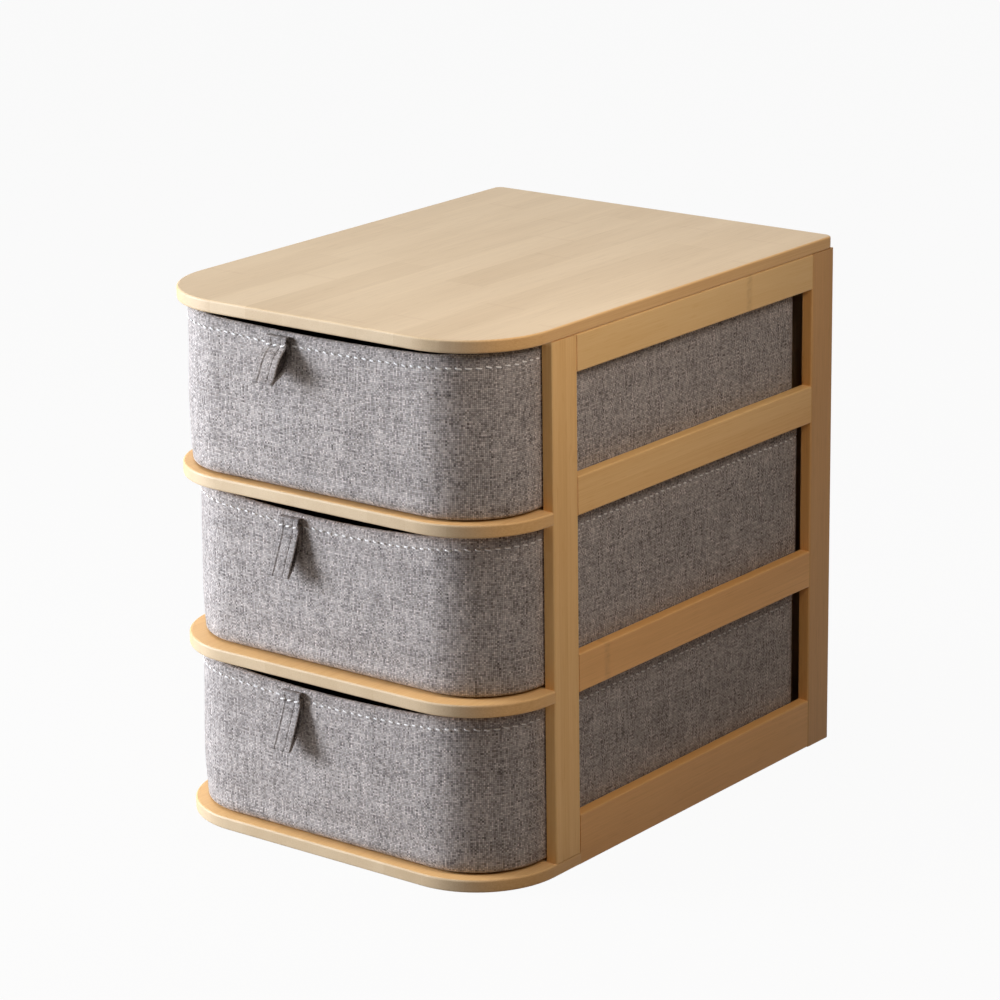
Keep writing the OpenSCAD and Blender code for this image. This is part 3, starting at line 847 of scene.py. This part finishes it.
def stitches(name, middles, sideA, sideB, thread):
    count, steps = middles.shape[:2]
    sides = 6
    turn = np.linspace(0, 2 * pi, sides, endpoint=False)
    share = np.linspace(-1, 1, steps)
    radius = thread * np.sqrt(1 - (0.93 * share) ** 4)
    arms = (np.cos(turn)[:, None] * sideA[..., None, :] + np.sin(turn)[:, None] * sideB[..., None, :])
    rings = middles[:, :, None, :] + radius[:, None, None] * arms
    vertices = np.concatenate([rings.reshape(count, -1, 3), middles[:, :1], middles[:, -1:]], axis=1)
    ring, side = np.arange(steps - 1)[:, None], np.arange(sides)[None, :]
    following = (side + 1) % sides
    quads = np.stack([ring * sides + side, ring * sides + following,
                      (ring + 1) * sides + following, (ring + 1) * sides + side], axis=-1).reshape(-1, 4)
    side, following, last = side[0], following[0], (steps - 1) * sides
    first = np.stack([np.full(sides, steps * sides), following, side], axis=-1)
    final = np.stack([np.full(sides, steps * sides + 1), last + side, last + following], axis=-1)
    base = (np.arange(count) * (steps * sides + 2))[:, None, None]
    sleeves = (base + quads).reshape(-1, 4).tolist()
    ends = (base + np.concatenate([first, final])).reshape(-1, 3).tolist()
    return pieceFrom(name, vertices.reshape(-1, 3), sleeves + ends, paleThread)


def hemStitches(drawer):
    perimeter, count = drawer["perimeter"], drawer["stitches"]
    rng = np.random.default_rng(drawer["seed"] + 40)
    share = np.linspace(-1, 1, 9)
    length = stitching["length"] * rng.uniform(*stitching["lengths"], (count, 1))
    at = (np.arange(count)[:, None] * perimeter / count) + share * length / 2
    slant = stitching["slant"] * rng.uniform(*stitching["slants"], (count, 1))
    wander = rng.normal(0, stitching["wander"], (count, 1))
    up = drawer["height"] - stitching["below"] - slant * share + wander
    place2d, normal = walkOutline(drawer["knots"], at)

    # they stand out on the front, and lie in the cloth where the carcass is close
    ahead = aheadOfPosts(place2d[..., 1], drawer)
    lift = stitching["thread"] * (stitching["standOut"] * ahead - stitching["dip"] * share ** 4)
    rows = []
    for facing, inset in ((1.0, 0.0), (-1.0, drawerShape["wall"])):
        shift = clothShift(at, up, place2d, drawer) if facing > 0 else 0 * at
        flat = place2d + normal * (facing * (shift + lift) - inset)[..., None]
        follow = up / drawer["height"]
        z = drawer["foot"] + up - follow * drawer["drop"](place2d)
        rows.append(np.concatenate([flat, z[..., None]], axis=-1))
    out3 = np.concatenate([normal, 0 * normal[..., :1]], axis=-1)
    up3 = np.broadcast_to(np.array([0.0, 0.0, 1.0]), out3.shape)

    # the strap covers a few of the outer row
    middle2d = place2d[:, 4]
    beside = np.abs(middle2d[:, 0] - strapShape["x"]) > strapShape["covers"]
    free = beside | (middle2d[:, 1] > drawer["front"] + 0.01)
    shown = np.concatenate([free, np.full(count, True)])
    return stitches(drawer["name"] + "_hem_stitches", np.concatenate(rows)[shown],
                    np.concatenate([up3, up3])[shown], np.concatenate([out3, out3])[shown],
                    stitching["thread"])


# Pull straps: a band folded double that hangs from a curled, sewn root. The middle line
# is a cubic curve from the root to the tip; the two layers lie beside it, apart by a
# gap that is nothing where they are sewn together and where the strap turns at its tip

strapShape = dict(
    width=0.012,
    halfThick=0.00046,
    thinner=0.00010,            # between its two ribs
    rib=0.0027,                 # their distance from the strap's middle
    groove=0.00026,             # depth and width of the groove along each rib
    grooveWidth=0.00034,
    layer=0.0005,               # a layer's distance from the middle line where they touch
    x=-0.0192, drop=0.0032, clearance=0.0018,   # the root, off the drawer's middle, rim and front
    covers=0.0072,              # half the stretch of the hem that has no stitches under it
    curl=0.00102,               # radius of the root's curl
    curlTurn=1.10,              # and how far it goes round, in half turns
    uncurled=0.14,              # share of the strap's length where the curl has run out
    backEnd=0.045,              # share where the inner layer ends, near the root
    sewn=0.12, fold=0.96,       # shares between which the layers lie apart
    hang=(0.0, 0.38), bend=(0.42, 0.66),
    # inset: of the painted-shade filling from the strap's edges
    inset=0.0009,               # of the filling from the strap's edges
)
strapRoot = dict(
    radius=0.0016,              # its distance from the middle of the curl that it folds over
    foot=0.0090,                # its lower end, below that middle
    neck=0.0010,                # where it starts to turn over, above that middle
    turn=0.0006,                # radius of that turn
    narrow=0.985, thin=0.32,    # its section, as shares of the strap's
)
straps = {
    "top": dict(reach=0.0108, fall=0.0170, open=0.0027, lean=0.0),
    "middle": dict(reach=0.0082, fall=0.0235, open=0.0010, lean=0.0004),
    "bottom": dict(reach=0.0082, fall=0.0235, open=0.0010, lean=0.0004),
}


# Section of the band: two flat faces with a thinner middle and a groove along each rib,
# joined by half-round edges
def bandSection(shape, halfWidth):
    edge = shape["halfThick"]
    across = np.linspace(halfWidth - edge, edge - halfWidth, 61)
    half = edge - shape["thinner"] * smooth((shape["rib"] + 0.0002 - np.abs(across)) / 0.0004)
    half = half - shape["groove"] * np.exp(-((np.abs(across) - shape["rib"]) / shape["grooveWidth"]) ** 2)
    turn = np.linspace(pi / 2, 3 * pi / 2, 7)[1:-1]
    endAcross, endThrough = edge - halfWidth + edge * np.cos(turn), edge * np.sin(turn)
    return (np.concatenate([across, endAcross, -across, -endAcross]),
            np.concatenate([half, endThrough, -half, -endThrough]))


# A band along a path in the plane of depth and height, given as rows of [out, down]
def bandAlong(name, path, section, place, material, lean=0.0):
    along = np.gradient(path, axis=0)
    along /= np.linalg.norm(along, axis=1, keepdims=True)
    through = np.stack([along[:, 1], -along[:, 0]], axis=1)
    across, half = section
    spread = path[:, None, :] + np.atleast_2d(half)[..., None] * through[:, None, :]
    x = place[0] - across - lean * np.clip(spread[..., 1] / path[:, 1].max(), 0, 1) ** 1.5
    points = np.stack([x, place[1] - spread[..., 0], place[2] - spread[..., 1]], axis=-1)
    length = np.concatenate([[0.0], np.cumsum(np.linalg.norm(np.diff(path, axis=0), axis=1))])
    thick = np.atleast_2d(half).mean(axis=0)
    girth = np.concatenate([[0.0], np.cumsum(np.hypot(np.diff(across, append=across[:1]),
                                                      np.diff(thick, append=thick[:1])))])
    uv = np.stack(np.broadcast_arrays(girth[None, :], length[:, None]), axis=-1)
    return gridObject(name, points, uv, material, closeColumns=True, caps=True), length[-1]


# Points on the strap's middle line at shares t, its direction there, and half the
# distance between its two layers
def strapLine(shape, strap, t):
    reach, fall = strap["reach"], strap["fall"]
    handles = np.array([[0, 0], [shape["hang"][0] * reach, shape["hang"][1] * fall],
                        [shape["bend"][0] * reach, shape["bend"][1] * fall], [reach, fall]])
    weights = np.hstack([(1 - t) ** 3, 3 * (1 - t) ** 2 * t, 3 * (1 - t) * t * t, t ** 3])
    slope = np.hstack([(1 - t) ** 2, 2 * (1 - t) * t, t * t]) @ np.diff(handles, axis=0)
    slope /= np.linalg.norm(slope, axis=1, keepdims=True)
    opened = np.clip((t - shape["sewn"]) / (shape["fold"] - shape["sewn"]), 0, 1)
    return weights @ handles, slope, shape["layer"] + strap["open"] * np.sin(pi * opened)


def strapPath(shape, strap):
    def layer(side, first, last, count):
        t = np.linspace(first, last, count)[:, None]
        point, slope, offset = strapLine(shape, strap, t)
        if side > 0:
            offset = offset + (shape["curl"] - shape["layer"]) * (1 - smooth(t / shape["uncurled"]))
        return point + side * offset * np.hstack([slope[:, 1:], -slope[:, :1]])

    end, tip, _ = strapLine(shape, strap, np.array([[1.0]]))
    angle = np.arctan2(tip[0, 1], tip[0, 0])
    curl = np.linspace(shape["curlTurn"] * pi, 0, 18)[:-1, None]
    curled = shape["curl"] * np.hstack([np.cos(curl), -np.sin(curl)])
    turn = angle + np.linspace(-pi / 2, pi / 2, 11)[1:-1, None]
    folded = end + shape["layer"] * np.hstack([np.cos(turn), np.sin(turn)])
    return np.vstack([curled, layer(1, 0, 1, 44), folded, layer(-1, 1, shape["backEnd"], 42)])


# A dark cushion fills the space between the strap's layers, as painted shade for that
# shaded space: its section is a superellipse, a little narrower than the strap and as thick as the space
def strapShadeFilling(name, shape, strap, root):
    t = np.linspace(shape["sewn"] + 0.03, shape["fold"] - 0.02, 40)[:, None]
    point, slope, offset = strapLine(shape, strap, t)
    turn = np.linspace(0, 2 * pi, 36, endpoint=False)
    cosine, sine = (np.sign(wave) * np.abs(wave) ** 0.5 for wave in (np.cos(turn), np.sin(turn)))
    section = ((shape["width"] / 2 - shape["inset"]) * cosine, (offset - 0.6 * shape["halfThick"]) * sine)
    return bandAlong(name + "_strap_shade_filling", point, section, root, clothMaterials["strapShadeCloth"])[0]


def pullStrap(drawer):
    name, shape = drawer["name"], strapShape
    section = bandSection(shape, shape["width"] / 2)
    here = np.array([shape["x"], drawer["front"]])
    rim = drawer["low"] + drawer["height"] + drawerShape["lift"] - drawer["drop"](here)
    root = (shape["x"], drawer["front"] - shape["clearance"], rim - shape["drop"])
    path = strapPath(shape, straps[name])
    strap, length = bandAlong(name + "_pull_strap", path, section, root, clothMaterials["shadedStrapLinen"],
                              lean=straps[name]["lean"])
    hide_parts(name + "_drawer_pull_tab")
    shadeFilling = strapShadeFilling(name, shape, straps[name], root)
    for piece in (strap, shadeFilling):
        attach(piece, name + "_pull_tab")

    # its sewn end, which comes up the drawer's front and folds over the curl
    neck, bend = strapRoot["neck"], strapRoot["turn"]
    down = np.linspace(strapRoot["foot"], -neck, 22)
    turn = np.linspace(pi, pi / 2, 7)[1:-1]
    over = np.linspace(pi / 2, pi / 5, 9)
    end = np.concatenate([
        np.stack([0 * down - strapRoot["radius"], down], axis=1),
        np.stack([-neck + bend * np.cos(turn), -neck - bend * np.sin(turn)], axis=1),
        strapRoot["radius"] * np.stack([np.cos(over), -np.sin(over)], axis=1)])
    thin = (section[0] * strapRoot["narrow"], section[1] * strapRoot["thin"])
    foot, footLength = bandAlong(name + "_strap_root", end, thin, root, clothMaterials["shadedStrapLinen"])
    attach(foot, name + "_drawer")

    # three stitches across the sewn root, on the face of the outer layer
    share = np.linspace(-1, 1, 9)
    places = np.array([-1.0, 0.0, 1.0])[:, None] * stitching["tackPitch"] * stitching["pitch"]
    across = places + share * stitching["length"] / 2
    downAt = stitching["tackDown"] + 0 * across - stitching["tackSlant"] * share
    front = np.interp(downAt, path[20:50, 1], path[20:50, 0]) + shape["halfThick"]
    lift = stitching["thread"] * (stitching["tackOut"] - stitching["dip"] * share ** 4)
    middles = np.stack([root[0] + across, root[1] - front - lift, root[2] - downAt], axis=-1)
    up3 = np.broadcast_to(np.array([0.0, 0.0, 1.0]), middles.shape)
    out3 = np.broadcast_to(np.array([0.0, -1.0, 0.0]), middles.shape)
    tack = stitches(name + "_strap_stitches", middles, up3, out3, stitching["thread"])
    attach(tack, name + "_pull_tab")


for index, name in enumerate(("top", "middle", "bottom")):
    low, high = (np.array(corner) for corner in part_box(name + "_drawer_cover"))
    drawer = dict(name=name, seed=index + 1, low=low[2], front=low[1], foot=low[2] + drawerShape["lift"],
                  height=high[2] - low[2] - drawerShape["lift"], knots=outlineKnots(low, high, drawerShape))
    drawer["perimeter"] = drawer["knots"]["at"][-1]
    drawer["stitches"] = round(drawer["perimeter"] / stitching["pitch"])
    sag, yMiddle = drawerShape["sag"][name], (low[1] + high[1]) / 2
    drawer["drop"] = lambda place2d, sag=sag, yMiddle=yMiddle: rimDrop(
        place2d, yMiddle, sag, drawerShape["sagHalfWidth"])
    cover = drawerCover(drawer)
    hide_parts(name + "_drawer_cover")
    under = clothPanel(name + "_base_cloth", drawer, baseShape["inset"], low[2] + baseShape["lift"],
                       baseShape["cloth"], clothMaterials["liningCloth"])
    floor = clothPanel(name + "_lining_floor", drawer, liningShape["inset"], low[2] + liningShape["floor"],
                       liningShape["cloth"], clothMaterials["liningCloth"], wave=liningShape["floorWave"])
    band = liningBand(drawer)
    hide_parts(name + "_drawer_lining")
    row = hemStitches(drawer)
    for piece, slotName in ((cover, "drawer_fabric"), (under, "drawer_fabric"), (row, "drawer_fabric"),
                            (floor, "lining_fabric"), (band, "lining_fabric")):
        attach(piece, name + "_drawer")
    pullStrap(drawer)
    print(name, "drawer made")


# Studio: a pale floor that keeps the object's shadow, soft lights, white background

studio = dict(
    key=dict(azimuth=-54, elevation=12, distance=1.1, size=0.5, power=18.0, color=(0.925, 1.0, 1.13)),
    overhead=dict(azimuth=-30, elevation=78, distance=1.6, size=1.2, power=16.0, color=(1.0, 0.97, 0.96)),
    side=dict(azimuth=74, elevation=42, distance=0.5, size=0.15, power=0.60, color=(0.94, 0.84, 0.77)),
)
studioTarget = Vector((0, 0, 0.12))
room = dict(
    ambient=0.028, glow=(1.0, 0.88, 0.80, 1),   # strength and colour of the light from all round
    floor=(0.36, 0.325, 0.30, 1),
    halfSize=6.0,
    shadow=0.05,                                # how much of the lit floor the camera sees
)


def addLight(name, setup):
    back = direction(setup)
    data = bpy.data.lights.new(name, "AREA")
    data.shape = "DISK"
    data.size = setup["size"]
    data.energy = setup["power"]
    data.color = setup["color"]
    light = bpy.data.objects.new(name, data)
    light.location = studioTarget + back * setup["distance"]
    light.rotation_mode = "QUATERNION"
    light.rotation_quaternion = (-back).to_track_quat("-Z", "Y")
    bpy.context.scene.collection.objects.link(light)


def seenDirectly(tree):                 # 1 for what the camera, a gloss or glass sees
    rays = tree.nodes.new("ShaderNodeLightPath").outputs
    seen = calc(tree, "MAXIMUM", rays["Is Camera Ray"], rays["Is Glossy Ray"])
    return calc(tree, "MAXIMUM", seen, rays["Is Transmission Ray"])


def makeWorld(setup):
    world = bpy.data.worlds.new("studio")
    world.use_nodes = True
    tree = world.node_tree
    background = tree.nodes["Background"]
    seen = seenDirectly(tree)
    feed(tree, background.inputs["Color"], blendColor(tree, seen, setup["glow"], (1, 1, 1, 1)))
    feed(tree, background.inputs["Strength"], blendValue(tree, seen, setup["ambient"], 1.0))
    bpy.context.scene.world = world


def makeFloor(setup):
    ends = (-setup["halfSize"], setup["halfSize"])
    points = np.array([[(x, y, 0.0) for x in ends] for y in ends])
    material = bpy.data.materials.new("paleFloor")
    material.use_nodes = True
    tree = material.node_tree
    tree.nodes.clear()
    matte = place(tree, "ShaderNodeBsdfDiffuse", {"Color": setup["floor"]})
    white = place(tree, "ShaderNodeEmission", {"Color": (1, 1, 1, 1), "Strength": 1.0})
    share = calc(tree, "MULTIPLY", seenDirectly(tree), 1 - setup["shadow"])
    mix = place(tree, "ShaderNodeMixShader", {"Fac": share})
    tree.links.new(matte.outputs[0], mix.inputs[1])
    tree.links.new(white.outputs[0], mix.inputs[2])
    output = tree.nodes.new("ShaderNodeOutputMaterial")
    tree.links.new(mix.outputs[0], output.inputs["Surface"])
    floor = gridObject("floor", points, np.zeros((2, 2, 2)), material)


for lightName, setup in studio.items():
    addLight(lightName, setup)
makeWorld(room)
makeFloor(room)
bpy.context.scene.view_settings.view_transform = "Standard"
print("studio made")
